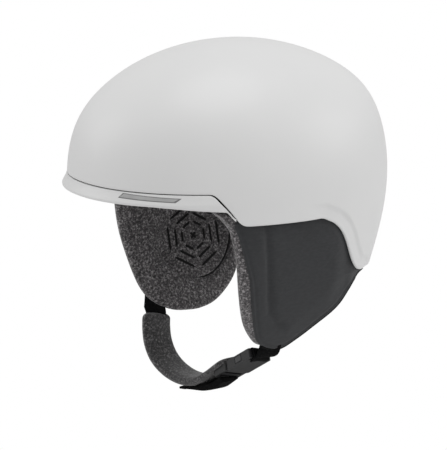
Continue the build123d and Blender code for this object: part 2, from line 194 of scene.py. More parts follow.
def line_distance(y, z, points):
    """Distance in the side view from points (y, z) to a polyline."""
    best = np.full(np.shape(y), 1e9)
    for (y0, z0), (y1, z1) in zip(points[:-1], points[1:]):
        dy, dz = y1 - y0, z1 - z0
        t = np.clip(((y - y0) * dy + (z - z0) * dz) / (dy * dy + dz * dz), 0, 1)
        best = np.minimum(best, np.hypot(y - y0 - t * dy, z - z0 - t * dz))
    return best


# ------------------------------------------------------------------ materials
def material(name, color, rough, coat=0.0, sheen=0.0, specular=0.5):
    """New material, with its node tree and its shader."""
    mat = bpy.data.materials.new(name)
    mat.use_nodes = True
    shader = mat.node_tree.nodes["Principled BSDF"]
    shader.inputs["Base Color"].default_value = (*color, 1)
    shader.inputs["Roughness"].default_value = rough
    shader.inputs["Coat Weight"].default_value = coat
    shader.inputs["Sheen Weight"].default_value = sheen
    shader.inputs["Specular IOR Level"].default_value = specular
    return mat, mat.node_tree, shader


def node(tree, kind, **values):
    """New node; each value goes to the input or the setting of that name."""
    made = tree.nodes.new(kind)
    for key, value in values.items():
        if key in made.inputs:
            made.inputs[key].default_value = value
        else:
            setattr(made, key, value)
    return made


def place_on(tree, texture, stretch=(1, 1, 1)):
    """Lay a texture in the object's own coordinates."""
    coords = node(tree, "ShaderNodeTexCoord")
    mapping = node(tree, "ShaderNodeMapping", Scale=stretch)
    tree.links.new(coords.outputs["Object"], mapping.inputs["Vector"])
    tree.links.new(mapping.outputs["Vector"], texture.inputs["Vector"])


def noise(tree, scale, detail=3.0, rough=0.5, stretch=(1, 1, 1)):
    texture = node(tree, "ShaderNodeTexNoise", Scale=scale, Detail=detail, Roughness=rough)
    place_on(tree, texture, stretch)
    return texture.outputs["Fac"]


def cells(tree, scale):
    texture = node(tree, "ShaderNodeTexVoronoi", Scale=scale)
    place_on(tree, texture)
    return texture.outputs["Distance"]


def waves(tree, scale, direction, distortion):
    texture = node(tree, "ShaderNodeTexWave", Scale=scale, Distortion=distortion, Detail=1.0,
                   bands_direction=direction)
    place_on(tree, texture)
    return texture.outputs["Fac"]


def ramp(tree, value, stops):
    """Colour ramp over a value; stops are (place, colour)."""
    made = node(tree, "ShaderNodeValToRGB")
    elements = made.color_ramp.elements
    while len(elements) < len(stops):
        elements.new(0.5)
    for element, (place, color) in zip(elements, stops):
        element.position = place
        element.color = (*color, 1)
    tree.links.new(value, made.inputs["Fac"])
    return made.outputs["Color"]


def bump(tree, shader, height, strength, distance):
    """Bump over the shader's earlier bumps; distance in millimetres."""
    made = node(tree, "ShaderNodeBump", Strength=strength, Distance=distance * MM)
    previous = shader.inputs["Normal"].links
    if previous:
        tree.links.new(previous[0].from_socket, made.inputs["Normal"])
    tree.links.new(height, made.inputs["Height"])
    tree.links.new(made.outputs["Normal"], shader.inputs["Normal"])


def white_plastic(name, tone):
    """Matte moulded white with faint mottling and a very fine orange-peel."""
    mat, tree, shader = material(name, (tone, tone, tone), 0.42, coat=0.06, specular=0.4)
    stops = [(0.3, (tone * 0.985,) * 3), (0.7, (tone, tone, tone * 0.997))]
    tint = ramp(tree, noise(tree, 18, 2), stops)
    tree.links.new(tint, shader.inputs["Base Color"])
    bump(tree, shader, noise(tree, 1400, 2), 0.12, 0.05)
    return mat


def fleece(name, dark, mid, light, scale):
    """Heather fleece: mottled fibres with pale specks and a soft nap."""
    mat, tree, shader = material(name, mid, 0.95, sheen=0.35, specular=0.15)
    shader.inputs["Sheen Roughness"].default_value = 0.6
    specks = ramp(tree, noise(tree, scale, 4, 0.75), [(0.40, dark), (0.53, mid), (0.64, light)])
    tree.links.new(specks, shader.inputs["Base Color"])
    bump(tree, shader, noise(tree, scale * 0.8, 4, 0.7), 0.75, 0.7)
    bump(tree, shader, noise(tree, 90, 3), 0.3, 1.2)
    return mat


def softshell():
    """Charcoal woven shell cloth with fine level ribs."""
    color = (0.0385, 0.0395, 0.0425)
    mat, tree, shader = material("softshell", color, 0.82, sheen=0.12, specular=0.22)
    stops = [(0.35, (0.034, 0.035, 0.037)), (0.65, (0.041, 0.042, 0.0445))]
    tone = ramp(tree, noise(tree, 420, 3, 0.6, (0.55, 0.55, 1.5)), stops)
    tree.links.new(tone, shader.inputs["Base Color"])
    bump(tree, shader, waves(tree, 420, "Z", 0.3), 0.16, 0.16)
    bump(tree, shader, noise(tree, 1700, 2), 0.3, 0.12)
    return mat


def webbing(name):
    """Black woven strap with a ribbed twill."""
    mat, tree, shader = material(name, (0.0022, 0.0022, 0.0025), 0.8, specular=0.12)
    bump(tree, shader, waves(tree, 260, "DIAGONAL", 0.2), 0.5, 0.35)
    stops = [(0.4, (0.0016, 0.0016, 0.0018)), (0.65, (0.0042, 0.0042, 0.0046))]
    tone = ramp(tree, noise(tree, 500, 2), stops)
    tree.links.new(tone, shader.inputs["Base Color"])
    return mat


def moulded(name, color, rough, grain=900, depth=0.08):
    """Moulded plastic or rubber with a fine spark-eroded grain."""
    mat, tree, shader = material(name, color, rough, specular=0.45)
    stops = [(0.35, tuple(c * 0.9 for c in color)), (0.65, tuple(c * 1.1 for c in color))]
    tone = ramp(tree, noise(tree, 60, 3), stops)
    tree.links.new(tone, shader.inputs["Base Color"])
    bump(tree, shader, noise(tree, grain, 2), 0.35, depth)
    return mat


def beads():
    """Black expanded foam with its fused bead cells."""
    mat, tree, shader = material("foam_beads", (0.02, 0.02, 0.021), 0.7, specular=0.3)
    bead = cells(tree, 330)
    tone = ramp(tree, bead, [(0.0, (0.026, 0.026, 0.027)), (0.8, (0.010, 0.010, 0.011))])
    tree.links.new(tone, shader.inputs["Base Color"])
    bump(tree, shader, bead, 0.5, 0.4)
    return mat


def steel():
    """Plated steel with a faint brushed grain."""
    mat, tree, shader = material("zinc_steel", (0.42, 0.42, 0.43), 0.32)
    shader.inputs["Metallic"].default_value = 1.0
    bump(tree, shader, noise(tree, 500, 2, 0.5, (1, 1, 8)), 0.2, 0.05)
    return mat


SHELL_WHITE = white_plastic("shell_white", 0.74)
BRIM_WHITE = white_plastic("brim_white", 0.72)
BADGE_GREY = moulded("badge_grey", (0.42, 0.42, 0.42), 0.5)
BADGE_EDGE = moulded("badge_edge", (0.2, 0.2, 0.2), 0.55)
SOFTSHELL = softshell()
FLEECE = fleece("heather_fleece", (0.026, 0.024, 0.025), (0.118, 0.110, 0.113), (0.44, 0.42, 0.425), 540)
CHIN_FLEECE = fleece("chin_fleece", (0.026, 0.025, 0.026), (0.060, 0.058, 0.059), (0.22, 0.213, 0.216), 540)
PAD_KNIT = fleece("pad_knit", (0.012, 0.012, 0.013), (0.022, 0.022, 0.024), (0.05, 0.05, 0.052), 900)
# black for the vent's slits, and painted shade for the dark strip in the groove below the speaker pocket
SLITS_AND_GROOVE_SHADE = moulded("slits_and_groove_shade", (0.004, 0.004, 0.004), 0.9)
PIPING = webbing("piping_black")
WEBBING = webbing("webbing_black")
BUCKLE = moulded("buckle_acetal", (0.0125, 0.0125, 0.0135), 0.42)
GRIP = moulded("grip_acetal", (0.06, 0.06, 0.062), 0.5)
NYLON = moulded("fit_nylon", (0.018, 0.018, 0.019), 0.45)
RUBBER = moulded("soft_rubber", (0.025, 0.025, 0.026), 0.75, 500, 0.15)
FOAM = beads()
STEEL = steel()


# ------------------------------------------------------------------ the shell's form
def radius_factor(z, phi, inner=0.0):
    """Plan scale at height z, as the CAD shell has it; inner lowers the crown by that much."""
    front = np.maximum(np.cos(phi), 0) ** 2
    rear = np.maximum(-np.cos(phi), 0) ** 2
    side = np.sin(phi) ** 2
    wall_h = WALL_HEIGHT[0] * front + WALL_HEIGHT[1] * side + WALL_HEIGHT[2] * rear
    cap = CAP_FACTOR[0] * front + CAP_FACTOR[1] * side + CAP_FACTOR[2] * rear
    up = np.maximum(z, 0)
    wall = np.sqrt(np.maximum(1 - (up / (wall_h - inner)) ** 2, 1e-9))
    dome = cap * np.sqrt(np.maximum(1 - (up / (CROWN - inner)) ** 2, 1e-12))
    soft = (wall ** -CREASE + dome ** -CREASE) ** (-1 / CREASE) * (1 + cap ** -CREASE) ** (1 / CREASE)
    nape = 1 - NAPE_TAPER * rear * (z / 70) ** 2
    return np.where(z <= 0, nape, soft)


def shell_point(phi, z, inset=0.0, flare=0.0, inner=0.0):
    """Point of the shell's face at plan angle phi and height z."""
    c, s = np.cos(phi), np.sin(phi)
    swell = flare * np.maximum(c, 0) ** 0.8
    along = np.where(c > 0, FRONT, REAR) - inset + swell
    k = radius_factor(z, phi, inner)
    x = (HALF_WIDTH - inset + swell) * k * np.sign(s) * np.abs(s) ** (2 / PLAN_POWER)
    y = -along * k * np.sign(c) * np.abs(c) ** (2 / PLAN_POWER)
    return np.stack([x, y, z + 0 * phi], -1)


def rim_height(phi, outline, inset=0.0):
    """Height where the shell's face, moved in by inset, meets a side-view outline."""
    z = np.full_like(phi, -20.0)
    for _ in range(60):
        z = 0.6 * z + 0.4 * eased(outline, shell_point(phi, z, inset)[:, 1])
    return z


def ear_relief(y, z):
    """Shallow step around the rear of the ear opening."""
    ear_opening = SHELL_EDGE[4:13]
    away = line_distance(y, z, ear_opening)
    step = fall(away, RELIEF_WIDTH - RELIEF_SLOPE, RELIEF_WIDTH)
    return RELIEF_DEPTH * step * rise(y, *RELIEF_ON) * fall(y, *RELIEF_OFF)


def outer_shell():
    """Hard shell: its outer face, the rounded rim and a band of the inner face."""
    cols, rows = 560, 110
    phi = np.linspace(0, 2 * np.pi, cols, endpoint=False)
    rim = rim_height(phi, SHELL_EDGE)
    low = np.arcsin(np.clip(rim / CROWN, -1, 1))
    layers = []
    for share in np.linspace(1, 0, rows):
        z = CROWN * np.sin(low + (np.pi / 2 - low) * share)
        p = shell_point(phi, z)
        layers.append(shell_point(phi, z, ear_relief(p[:, 1], z)))
    edge = shell_point(phi, rim)
    ahead = np.roll(edge, -1, 0) - np.roll(edge, 1, 0)
    slope = np.stack([np.zeros(cols), ahead[:, 2] * np.sign(ahead[:, 1]), -np.abs(ahead[:, 1])], -1)
    level = np.abs(ahead[:, 1]) < 0.25
    slope[level] = (0, 0, -1)
    slope /= np.linalg.norm(slope, axis=1)[:, None]
    relief = ear_relief(edge[:, 1], rim)
    for beta in np.radians([25, 50, 75, 100, 130, 155, 180]):
        turn = SHELL_T / 2 * (1 - math.cos(beta))
        layers.append(shell_point(phi, rim, relief + turn) + SHELL_T / 2 * math.sin(beta) * slope)
    for up in (2, 5, 9, 14):
        layers.append(shell_point(phi, rim + up, SHELL_T))
    points = np.concatenate(layers)
    faces = grid_faces(len(layers), cols, wrap_cols=True)
    obj = outward(new_object("shell_skin", points, faces, SHELL_WHITE, "shell"))
    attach(obj, "helmet")
    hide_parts("outer_shell")


def foam_liner():
    """Foam liner inside the shell, open over the fit dial, with rounded lower edges."""
    cols, rows = 360, 60
    phi = np.linspace(0, 2 * np.pi, cols, endpoint=False)
    rims = []
    for inset in (LINER_OUT, LINER_IN):
        rim = rim_height(phi, LINER_EDGE, inset=inset)
        at = shell_point(phi, rim, inset)
        over_dial = fall(np.abs(at[:, 0]), NOTCH_HALF - 6, NOTCH_HALF) * (at[:, 1] > 0)
        rims.append(rim + (np.maximum(rim, NOTCH_TOP) - rim) * over_dial)

    def face(inset, rim, upward):
        """Rings of one face of the liner, between its rim and the crown."""
        top = CROWN - inset
        low = np.arcsin(np.clip(rim / top, -1, 1))
        order = np.linspace(0, 1, rows) if upward else np.linspace(1, 0, rows)
        heights = [top * np.sin(low + (np.pi / 2 - low) * share) for share in order]
        return [shell_point(phi, z, inset, 0.0, inset) for z in heights]

    outer = face(LINER_OUT, rims[0] + 2, False)
    inner = face(LINER_IN, rims[1] + 2, True)
    lip = []
    for beta in np.radians(np.linspace(0, 180, 9)):
        share = (1 - math.cos(beta)) / 2
        z = rims[0] * (1 - share) + rims[1] * share + 2 - 2 * min(1, 2.2 * math.sin(beta))
        lip.append(shell_point(phi, z, LINER_OUT + (LINER_IN - LINER_OUT) * share))
    layers = outer + lip + inner
    points = np.concatenate(layers)
    faces = grid_faces(len(layers), cols, wrap_cols=True)
    obj = outward(new_object("liner_foam", points, faces, FOAM, "foam"))
    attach(obj, "helmet")
    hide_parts("eps_liner")


def brim_flare(z):
    """How far the brim stands out from the shell at height z."""
    zs, flares = zip(*BRIM_FLARE)
    return np.interp(z, zs, flares)


def front_brim():
    """Flared brim under the brow seam, rounded along its lower lip."""
    end_y = BRIM_TOP[-1][0]
    phis = np.linspace(-1, 1, 301) * 1.155 * np.arccos(-end_y / FRONT)
    y = shell_point(phis, np.zeros_like(phis))[:, 1]
    phis = phis[y < end_y + 0.2]
    y = shell_point(phis, np.zeros_like(phis))[:, 1]
    top = eased(BRIM_TOP, y, 2.5)
    low = np.minimum(eased(BRIM_LOWER, y, 1.5), top - 0.6)
    rings = []
    top_edge = [(0.0, 2.2), (0.0, 1.2), (0.0, 0.5), (0.04, 0.12)]
    outer_face = [(f, 0.0) for f in np.linspace(0.09, 0.93, 14)]
    for f, inset in top_edge + outer_face:
        z = top + (low - top) * f
        rings.append(shell_point(phis, z, inset, brim_flare(z)))
    lip = shell_point(phis, low, 0.0, brim_flare(low))
    inner = shell_point(phis, low, BRIM_T, brim_flare(low))
    for beta in np.radians([20, 45, 70, 90, 110, 135, 160]):
        mid = (lip + inner) / 2 + (lip - inner) / 2 * math.cos(beta)
        mid[:, 2] -= 1.1 * math.sin(beta)
        rings.append(mid)
    for f in (0.8, 0.5, 0.2):
        z = top + (low - top) * f
        rings.append(shell_point(phis, z, 2.2 + 1.0 * f, brim_flare(z) * f))
    points = np.concatenate(rings)
    cols = len(phis)
    faces = grid_faces(len(rings), cols, wrap_rows=True)
    for j in (0, cols - 1):
        faces.append(tuple(i * cols + j for i in range(len(rings))))
    obj = outward(new_object("brim_skin", points, faces, BRIM_WHITE, "brim"))
    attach(obj, "helmet")
    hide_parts("front_brim")


# the badge's corners at its inner and outer end, (x, z)
BADGE_TOP = ((48.4, 5.7), (83.6, 4.0))
BADGE_LOW = ((46.2, 2.0), (82.0, 0.9))


def badge_plate(name, inset_x, inset_z, lift, mat):
    """Thin plate laid on the brim's face, smaller than the badge by the insets."""
    (top_x0, top_z0), (top_x1, top_z1) = BADGE_TOP
    (low_x0, low_z0), (low_x1, low_z1) = BADGE_LOW
    rows, cols = 7, 40
    points = []
    for v in np.linspace(0, 1, rows):
        x0 = top_x0 * (1 - v) + low_x0 * v + inset_x
        x1 = top_x1 * (1 - v) + low_x1 * v - inset_x
        for u in np.linspace(0, 1, cols):
            x = x0 * (1 - u) + x1 * u
            z_top = top_z0 * (1 - u) + top_z1 * u - inset_z
            z_low = low_z0 * (1 - u) + low_z1 * u + inset_z
            z = z_top * (1 - v) + z_low * v
            phi = np.arcsin(np.clip((x / (HALF_WIDTH + brim_flare(z))) ** (PLAN_POWER / 2), 0, 1))
            for _ in range(8):
                at = shell_point(np.array([phi]), np.array([z]), -lift, brim_flare(z))[0]
                phi += (x - at[0]) / (HALF_WIDTH * max(math.cos(phi), 0.2))
            points.append(at)
    top = np.array(points)
    under = top * [0.994, 0.994, 1]
    faces = grid_faces(rows, cols) + grid_faces(rows, cols, start=len(top))
    rim = (list(range(cols)) + [i * cols + cols - 1 for i in range(1, rows)]
           + [(rows - 1) * cols + j for j in range(cols - 2, -1, -1)]
           + [i * cols for i in range(rows - 2, 0, -1)])
    for a, b in zip(rim, rim[1:] + rim[:1]):
        faces.append((a, b, b + len(top), a + len(top)))
    obj = outward(new_object(name, np.vstack([top, under]), faces, mat, "badge"))
    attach(obj, "helmet")
    return obj


def brim_badge():
    """Bare slanted badge: a dark frame with a paler face laid in it."""
    frame_piece = badge_plate("badge_frame", 0, 0, 0.10, BADGE_EDGE)
    badge_plate("badge_face", 1.1, 0.55, 0.22, BADGE_GREY)
    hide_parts("brim_badge")


# ------------------------------------------------------------------ ear pads
# outlines in the side view, (y, z)
COVER_OUTLINE = [(-58.6, -17), (-56, -30), (-52, -46), (-46, -64), (-41, -83), (-35, -101),
                 (-30, -113), (-24, -122.5), (-13, -130), (1, -132.8), (13.5, -125.5), (28, -114),
                 (40, -104.5), (47.5, -97), (54.5, -87), (61.5, -80.3), (68.2, -76.2), (75, -73.7),
                 (67, -67),
                 (56, -58), (50, -44), (40, -30), (28, -18), (10, -13), (-20, -12), (-45, -13)]
FLEECE_REAR = [(57, -80), (56, -66), (50, -50), (40, -34), (28, -22), (10, -15), (-25, -14.5),
               (-48, -14), (-60, -11)]
FLEECE_LEFT = [(-73, -7.5), (-67, -14), (-60.5, -23), (-58, -34), (-56, -47), (-53.8, -60), (-50.4, -75),
               (-45, -92), (-38.5, -106), (-30, -117.5), (-21, -126), (-10, -129.8), (3, -129.8),
               (14, -123.5), (28, -112.5), (39, -103), (50, -91)] + FLEECE_REAR
FLEECE_RIGHT = [(-72, -7.5), (-65, -16), (-61.2, -37), (-59.2, -50), (-57.2, -66), (-54, -83),
                (-51, -97), (-47.5, -109), (-43, -117), (-36, -123.5), (-28, -128), (-19, -131),
                (-8, -132.3), (5, -132.5), (21, -129), (37, -120), (49, -109), (56, -95)] + FLEECE_REAR
COVER_CREASE = [(-36, -16), (-33.5, -40), (-30, -60), (-26.5, -78), (-21.5, -95), (-13.5, -105),
                (0, -111.5)]
COVER_CENTRE, FLEECE_CENTRE = (2, -66), (2, -68)
COVER_T, COVER_ROUND = 3.6, 1.8
FLEECE_DEPTH, FLEECE_T, FLEECE_ROUND = 3.0, 9.0, 5.0
SPEAKER_AT, POCKET_R = (11.6, -72.4), 35.5
# the seam strip is painted shade laid in the groove below the speaker pocket
SLIT_DEPTH, GROOVE_SHADE_DEPTH = 12.75, 11.9           # below the pad's outer face
SLIT_HALF, GROOVE_SHADE_HALF = 1.05, 1.15
SLIT_RINGS = ((24.5, 21), (17.5, 16), (11, 9))  # apothem and slit length of each hexagon
PIPING_R = 1.15
EAR_UNDER = 3.0                                # how far the pad's top lies under the shell's face
EAR_REAR_IN = 4.8                              # how far the pad's rear is drawn in


def ear_x(y, z):
    """Outer face of the ear pad, drawn in under the shell's edge at its ends."""
    curl = EAR_OUT_X - EAR_CURL * ((EAR_TOP_Z - z) / EAR_DROP) ** 2
    along = np.minimum(np.abs(y) / np.where(y < 0, FRONT, REAR), 1)
    shell = HALF_WIDTH * (1 - along ** PLAN_POWER) ** (1 / PLAN_POWER)
    near_top = np.minimum(curl, shell - EAR_UNDER - RELIEF_DEPTH * rise(y, *RELIEF_ON))
    tuck = rise(z, -62, -18)
    rear_in = EAR_REAR_IN * rise(y, 30, 54) * rise(z, -112, -72)
    tip_in = EAR_REAR_IN * rise(y, 51, 65) + 0.55 * np.maximum(y - 62, 0)
    return curl * (1 - tuck) + near_top * tuck - rear_in - tip_in * rise(z, -98, -76)


def pillow(name, outline, centre, depth, thick, edge, mat, slot, shape):
    """Padded panel on the ear pad's curled surface: (y, z) outline, rounded over edge at its rim."""
    count = 420
    rim = smooth_curve(outline, count, closed=True)
    centre = np.array(centre, float)
    span = np.linalg.norm(rim - centre, axis=1)[:, None]
    steps = edge * np.array([0, 0.02, 0.08, 0.18, 0.32, 0.5, 0.75, 1.0])
    fractions = np.linspace(0, 1, 44)[1:]
    inside = [np.full((count, 1), s) for s in steps]
    inside += [edge + (span - edge) * f for f in fractions]
    rows = {"out": [], "in": []}
    for away in inside:
        p = rim + (centre - rim) * (away / span)
        y, z = p[:, 0], p[:, 1]
        half = thick / 2 * np.sqrt(1 - (1 - np.minimum(away[:, 0] / edge, 1)) ** 2)
        mid = ear_x(y, z) - depth - thick / 2
        for side, sign in (("out", 1), ("in", -1)):
            extra = shape(y, z, away[:, 0], side)
            rows[side].append(np.stack([mid + sign * (half + extra * half / (thick / 2)), y, z], -1))
    layers = rows["out"][::-1] + rows["in"][1:]
    points = np.concatenate(layers)
    faces = grid_faces(len(layers), count, wrap_cols=True)
    return outward(new_object(name, points, faces, mat, slot))


def cover_shape(y, z, away, side):
    """Crown and sewn crease of the outer cover."""
    if side == "in":
        return 0 * y
    crown = 1.6 * rise(away, 0, 26)
    fold = line_distance(y, z, COVER_CREASE)
    crease = (1.9 * ridge(fold, 2.9) + 0.6 * ridge(fold, 7.5)) * fall(y, -12, 3)
    hem = 0.7 * ridge(away - 3.2, 1.0)
    return crown - crease - hem


def fleece_shape(y, z, away, side):
    """Speaker pocket and soft swell of the inner face."""
    if side == "out":
        return 0 * y
    r = np.hypot(y - SPEAKER_AT[0], z - SPEAKER_AT[1])
    low = fall(z, SPEAKER_AT[1] - 14, SPEAKER_AT[1] + 6)
    groove = 3.2 * ridge(r - POCKET_R, 1.7) * (0.35 + 0.65 * low)
    sunk = 1.6 * fall(r, 31, 35)
    rings = 0.35 * (ridge(r - 27.5, 1.6) + ridge(r - 20.5, 1.6))
    return 2.0 * rise(away, 0, 20) - groove - sunk - rings


def mirrored(obj, name):
    """Copy of a left piece for the right side."""
    mesh = obj.data.copy()
    co = np.empty(len(mesh.vertices) * 3)
    mesh.vertices.foreach_get("co", co)
    co = co.reshape(-1, 3) * [-1, 1, 1]
    mesh.vertices.foreach_set("co", co.ravel())
    mesh.flip_normals()
    twin = bpy.data.objects.new(name, mesh)
    bpy.context.scene.collection.objects.link(twin)
    if "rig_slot" in obj:
        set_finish(twin, obj["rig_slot"])
    return twin


def both_sides(build, name):
    """Left piece and its mirror image."""
    left = build(name + "_left")
    return left, mirrored(left, name + "_right")


def place_pair(left, right, nodes=(), padded=None):
    """Fix a pair to the helmet; nodes are the CAD pieces that it stands for."""
    for obj, side in ((left, "left"), (right, "right")):
        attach(obj, "helmet")
        if nodes:
            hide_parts(*(f"{n}_{side}" for n in nodes))


def slits(name):
    """Slits of the speaker vent, three hexagons and a cross, and a strip of painted shade in the groove
    below its pocket.
    """
    bars = []
    for apothem, length in SLIT_RINGS:
        for k in range(6):
            bars.append((60 * k, apothem, length))
    bars += [(45, 0, 7), (135, 0, 7)]
    points, faces = [], []
    for turn, apothem, length in bars:
        a = math.radians(turn)
        out = np.array([math.cos(a), math.sin(a)])
        run = np.array([-math.sin(a), math.cos(a)])
        start = len(points)
        n = 9
        for u in np.linspace(-0.5, 0.5, n):
            half = SLIT_HALF * math.sqrt(max(1 - (2 * abs(u)) ** 8, 0.02))
            for v in (-1, 0, 1):
                y, z = np.array(SPEAKER_AT) + out * (apothem + v * half) + run * (u * length)
                points.append((ear_x(y, z) - SLIT_DEPTH + 0.25 * abs(v), y, z))
        faces += grid_faces(n, 3, start=start)
    # painted shade: a dark arc in the pocket's groove, only on its lower side
    start, n = len(points), 40
    for turn in np.radians(np.linspace(-98, 14, n)):
        ends = rise(turn, -1.75, -1.25) * fall(turn, -0.2, 0.3)
        for v in (-1, 0, 1):
            r = POCKET_R + v * (GROOVE_SHADE_HALF * ends + 0.12)
            y = SPEAKER_AT[0] + r * math.cos(turn)
            z = SPEAKER_AT[1] + r * math.sin(turn)
            points.append((ear_x(y, z) - GROOVE_SHADE_DEPTH + 0.9 * abs(v), y, z))
    faces += grid_faces(n, 3, start=start)
    obj = new_object(name, points, faces, SLITS_AND_GROOVE_SHADE, "vent")
    thick = obj.modifiers.new("depth", "SOLIDIFY")
    thick.thickness = 0.5 * MM
    thick.offset = 0
    return obj


def ear_cover(name):
    return pillow(name, COVER_OUTLINE, COVER_CENTRE, 0.0, COVER_T, COVER_ROUND, SOFTSHELL, "softshell",
                  cover_shape)


def ear_fleece(name, outline):
    return pillow(name, outline, FLEECE_CENTRE, FLEECE_DEPTH, FLEECE_T, FLEECE_ROUND, FLEECE, "fleece",
                  fleece_shape)


def piping(name):
    """Black binding round the cover's rear and lower edge."""
    rim = smooth_curve(COVER_OUTLINE, 420, closed=True)
    keep = [p for p in rim if (p[0] > -8 and p[1] < -70) or p[1] < -126]
    keep.sort(key=lambda p: math.atan2(p[1] + 60, p[0]))
    count, ring = 120, 10
    path = smooth_curve(np.array(keep)[::4], count)
    points = []
    for i, (y, z) in enumerate(path):
        x = ear_x(y, z) - 1.9
        along = path[min(i + 1, count - 1)] - path[max(i - 1, 0)]
        along /= np.linalg.norm(along)
        r = PIPING_R * (0.3 if i in (0, count - 1) else 1)
        for k in range(ring):
            a = 2 * math.pi * k / ring
            side = r * math.sin(a)
            points.append((x + 1.5 * r * math.cos(a), y - along[1] * side, z + along[0] * side))
    faces = grid_faces(count, ring, wrap_cols=True)
    return outward(new_object(name, points, faces, PIPING, "softshell"))


def ear_pads():
    """Covers, fleeces, speaker slits with the painted shade in the pocket's groove, and piping of both ear
    pads.
    """
    place_pair(*both_sides(ear_cover, "pad_cover"), ["ear_pad_cover"], padded=0.5)
    left = ear_fleece("pad_fleece_left", FLEECE_LEFT)
    unmirrored = ear_fleece("pad_fleece_whole", FLEECE_RIGHT)
    right = mirrored(unmirrored, "pad_fleece_right")
    bpy.data.objects.remove(unmirrored)
    place_pair(left, right, ["ear_pad_fleece", "speaker_vent"], padded=0.7)
    # the vent's slits, and the painted shade in the pocket's groove
    place_pair(*both_sides(slits, "speaker_slits"))
    place_pair(*both_sides(piping, "pad_piping"))


# ------------------------------------------------------------------ straps
# routes in the front view, (x, z)
LOOP = [(-81.8, -104), (-76.2, -115), (-70.4, -124), (-67, -132), (-67, -145), (-64.8, -157.5),
        (-58, -168.5), (-46.5, -176), (-32, -180), (-17, -181), (-5, -179.4), (5, -175), (15.6, -168.6)]
PAD_PATH = [(-66.6, -131.5), (-67, -145), (-64.8, -157.5), (-58, -168.5), (-46.5, -176), (-32, -179.8),
            (-17, -179.4), (-4, -174.6), (8.5, -166), (18.5, -158), (28, -150.5)]
TAIL = [(22.6, -167.6), (17, -172), (10.5, -176.8), (2, -180.2), (-8, -183.4), (-18, -186.3), (-28, -188)]
CHIN_L, CHIN_W, CHIN_T, TONGUE_T = 200, 26.5, 9.5, 5.9  # chin pad; its tongue is thinner
WEB_LEAN = -0.42                               # turn of the webs beside the ear pads


def loop_y(x):
    """The plane of the hanging straps."""
    return LOOP_Y0 + LOOP_SLOPE * x


def untilted(s):
    return 0.0


def sweep(name, path, widths, thicks, mat, slot, power, count, ring, y_of=loop_y,
          lean=untilted, slant=untilted):
    """Flat band along an (x, z) path; its sizes, lean and slant are functions of the run 0 to 1."""
    line = smooth_curve(path, count)
    tangent = np.gradient(line, axis=0)
    tangent /= np.linalg.norm(tangent, axis=1)[:, None]
    points = []
    for i, ((x, z), (tx, tz)) in enumerate(zip(line, tangent)):
        s = i / (count - 1)
        half_w, half_t = widths(s) / 2, thicks(s) / 2
        for k in range(ring):
            a = 2 * math.pi * k / ring
            w = half_w * signed_power(math.cos(a), 2 / power)
            t = half_t * signed_power(math.sin(a), 2 / power) + lean(s) * w
            points.append((x + tz * t, y_of(x) + w, z - tx * t - slant(s) * w))
    faces = grid_faces(count, ring, wrap_cols=True)
    faces.append(tuple(range(ring)))
    faces.append(tuple((count - 1) * ring + k for k in range(ring - 1, -1, -1)))
    return outward(new_object(name, points, faces, mat, slot))


def rounded_end(s, reach):
    """Scale that rounds the chin pad off over reach at both its ends."""
    d = min(s, 1 - s) * CHIN_L / reach
    return (1 - max(1 - d, 0) ** 2.4) ** (1 / 2.4)


def chin_width(s):
    return CHIN_W * (0.32 + 0.68 * rounded_end(s, 9))


def chin_thickness(s):
    thick = CHIN_T + (TONGUE_T - CHIN_T) * rise(s, 0.55, 0.85)
    return thick * (0.18 + 0.82 * rounded_end(s, 7))


def chin_slant(s):
    """The pad's upper end is cut at a slant."""
    return 0.16 * fall(s, 0, 0.1)


def chin_pad():
    """Fleece sleeve of the chin strap, thinned to a tongue behind the buckle."""
    obj = sweep("chin_sleeve", PAD_PATH, chin_width, chin_thickness, CHIN_FLEECE, "fleece", 2.7, 190, 40,
                slant=chin_slant)
    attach(obj, "chin_strap")
    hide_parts("chin_pad")


LEFT_WEB = [(73.4, -112), (71.2, -122), (69.2, -130), (67.2, -135), (64.6, -138.4), (61.4, -140.8),
            (58.4, -142.8), (56, -144.6)]
BUCKLE_AT = Vector((44.2, -13.6, -148.4))
BUCKLE_ALONG = Vector((-0.81, -0.19, -0.555)).normalized()
BUCKLE_ROLL = math.radians(12)
BAR_AT = -15.4                                 # the socket's end bar, along the buckle
FOLD_RUN, FOLD_LIFT = 3.6, 4.7                 # half-sizes of the web's turn round that bar


def web_thickness(s):
    return WEB_T


def web_width(s):
    return WEB_W


def right_y(x):
    """The right web leans rearward as it goes up into the ear pad."""
    return loop_y(max(x, -70)) + 0.7 * max(-70 - x, 0)


def right_lean(s):
    """The right web is turned with the ear pad where it leaves it."""
    return WEB_LEAN * fall(s, 0.2, 0.3)


def left_lean(s):
    """The left web is turned with the ear pad's foot, and level again at the buckle."""
    return WEB_LEAN * rise(s, 0.18, 0.48) * fall(s, 0.55, 0.95)


def tail_thickness(s):
    """Bunched web at the buckle's bars, one layer after it, and a folded hem at the end."""
    bunch = 4.8 * fall(s, 0.45, 0.85)
    hem = 0.9 * rise(s, 0.86, 0.89)
    return WEB_T + bunch + hem


def straps():
    """The hanging web on each side and the loose tail."""
    look = (WEBBING, "webbing", 6)
    right = sweep("strap_right", LOOP, web_width, web_thickness, *look, 160, 20, right_y, right_lean)
    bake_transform(right)
    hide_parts("strap_web_lower_right", "strap_web_upper_right")
    left = sweep("strap_left", LEFT_WEB, web_width, web_thickness, *look, 60, 20, lean=left_lean)
    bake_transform(left)
    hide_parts("strap_web_lower_left", "strap_web_upper_left")
    tail = sweep("strap_tail_band", TAIL, web_width, tail_thickness, *look, 90, 20)
    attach(tail, "chin_strap")
    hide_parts("strap_tail")


